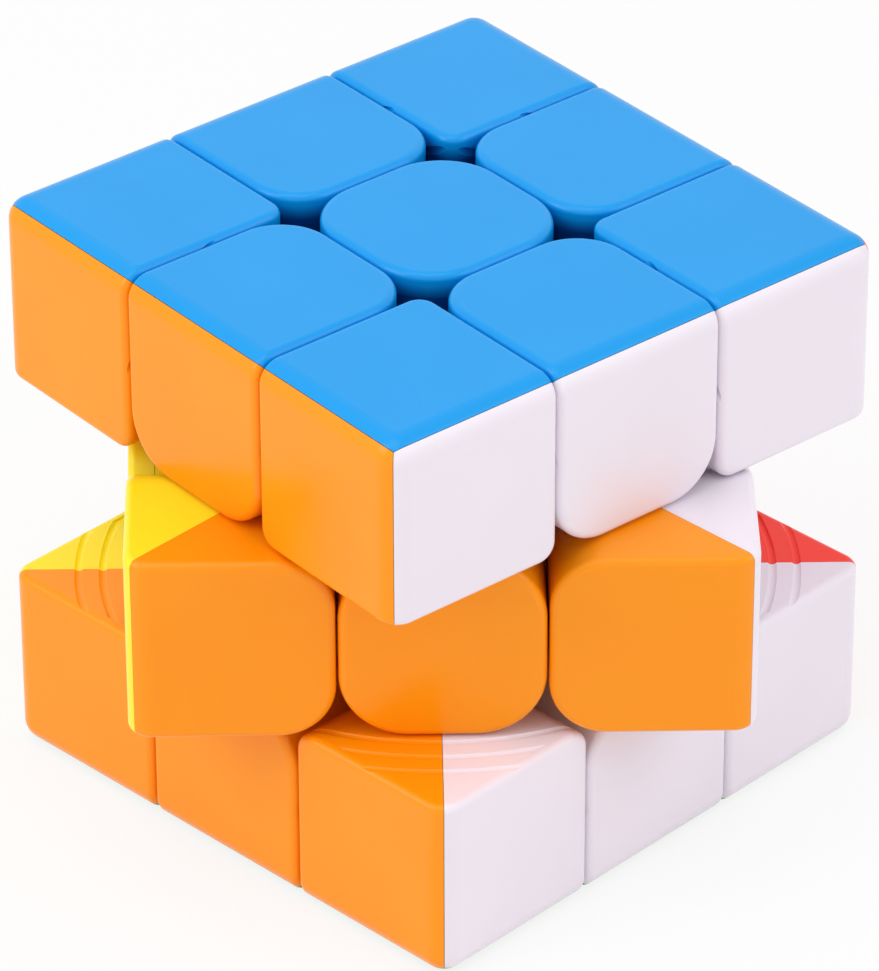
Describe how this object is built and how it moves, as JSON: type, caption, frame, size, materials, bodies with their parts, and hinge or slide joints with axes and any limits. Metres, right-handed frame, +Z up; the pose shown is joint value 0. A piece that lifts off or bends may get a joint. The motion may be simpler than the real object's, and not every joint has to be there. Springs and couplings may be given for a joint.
{
  "type": "twisty puzzle cube",
  "caption": "Handheld three-layer twisty puzzle cube in coloured plastic, its layers turning on a hidden sprung core.",
  "frame": {"origin": "centre of the core, where the six turning axes meet", "axes": "+Z up through the top layer's centre, -Y through the bottom layer's front face, +X through its right face"},
  "size_m": [0.0774, 0.0774, 0.056],
  "materials": {
    "blue": "satin-gloss moulded blue",
    "orange": "satin-gloss moulded orange",
    "white": "satin-gloss moulded white",
    "red": "satin-gloss moulded red",
    "yellow": "satin-gloss moulded yellow",
    "green": "satin-gloss moulded green",
    "core_plastic": "dull moulded",
    "screw_steel": "zinc plated",
    "spring_steel": "drawn wire"
  },
  "bodies": {
    "middle_layer": {"centre_back_spring": "spring_steel", "centre_bottom_spring": "spring_steel", "centre_front_spring": "spring_steel", "centre_left_spring": "spring_steel", "centre_right_spring": "spring_steel", "centre_top_spring": "spring_steel", "core": "core_plastic", "edge_back_left_red": "red", "edge_back_left_yellow": "yellow", "edge_back_right_red": "red", "edge_back_right_white": "white", "edge_front_left_orange": "orange", "edge_front_left_yellow": "yellow", "edge_front_right_orange": "orange", "edge_front_right_white": "white", "screws": "screw_steel", "washers": "screw_steel"},
    "top_layer": {"corner_top_back_left_red": "red", "corner_top_back_left_yellow": "yellow", "corner_top_back_right_red": "red", "corner_top_back_right_white": "white", "corner_top_front_left_orange": "orange", "corner_top_front_left_yellow": "yellow", "corner_top_front_right_orange": "orange", "corner_top_front_right_white": "white", "corners_top_blue": "blue", "edge_top_back_red": "red", "edge_top_front_orange": "orange", "edge_top_left_yellow": "yellow", "edge_top_right_white": "white", "edges_top_blue": "blue"},
    "bottom_layer": {"corner_bottom_back_left_red": "red", "corner_bottom_back_left_yellow": "yellow", "corner_bottom_back_right_red": "red", "corner_bottom_back_right_white": "white", "corner_bottom_front_left_orange": "orange", "corner_bottom_front_left_yellow": "yellow", "corner_bottom_front_right_orange": "orange", "corner_bottom_front_right_white": "white", "corners_bottom_green": "green", "edge_bottom_back_red": "red", "edge_bottom_front_orange": "orange", "edge_bottom_left_yellow": "yellow", "edge_bottom_right_white": "white", "edges_bottom_green": "green"},
    "top_centre": {"centre_top_body": "blue", "centre_top_cap": "blue"},
    "front_centre": {"centre_front_body": "orange", "centre_front_cap": "orange"},
    "right_centre": {"centre_right_body": "white", "centre_right_cap": "white"},
    "back_centre": {"centre_back_body": "red", "centre_back_cap": "red"},
    "left_centre": {"centre_left_body": "yellow", "centre_left_cap": "yellow"},
    "bottom_centre": {"centre_bottom_body": "green", "centre_bottom_cap": "green"}
  },
  "joints": [
    {"name": "top_layer_turn", "type": "hinge", "parent": "middle_layer", "child": "top_layer", "pos_m": [0, 0, 0], "axis": [0, 0, 1], "continuous": true},
    {"name": "bottom_layer_turn", "type": "hinge", "parent": "middle_layer", "child": "bottom_layer", "pos_m": [0, 0, 0], "axis": [0, 0, 1], "continuous": true},
    {"name": "top_centre_lift", "type": "slide", "parent": "top_layer", "child": "top_centre", "axis": [0, 0, 1], "range_m": [0, 0.0006], "stiffness_N_per_m": 1500, "springref_m": -0.001, "deforming": ["centre_top_spring"]},
    {"name": "front_centre_lift", "type": "slide", "parent": "middle_layer", "child": "front_centre", "axis": [0.709, -0.7053, 0], "range_m": [0, 0.0006], "stiffness_N_per_m": 1500, "springref_m": -0.001, "deforming": ["centre_front_spring"]},
    {"name": "right_centre_lift", "type": "slide", "parent": "middle_layer", "child": "right_centre", "axis": [0.7053, 0.709, 0], "range_m": [0, 0.0006], "stiffness_N_per_m": 1500, "springref_m": -0.001, "deforming": ["centre_right_spring"]},
    {"name": "back_centre_lift", "type": "slide", "parent": "middle_layer", "child": "back_centre", "axis": [-0.709, 0.7053, 0], "range_m": [0, 0.0006], "stiffness_N_per_m": 1500, "springref_m": -0.001, "deforming": ["centre_back_spring"]},
    {"name": "left_centre_lift", "type": "slide", "parent": "middle_layer", "child": "left_centre", "axis": [-0.7053, -0.709, 0], "range_m": [0, 0.0006], "stiffness_N_per_m": 1500, "springref_m": -0.001, "deforming": ["centre_left_spring"]},
    {"name": "bottom_centre_lift", "type": "slide", "parent": "bottom_layer", "child": "bottom_centre", "axis": [0, 0, -1], "range_m": [0, 0.0006], "stiffness_N_per_m": 1500, "springref_m": -0.001, "deforming": ["centre_bottom_spring"]}
  ]
}
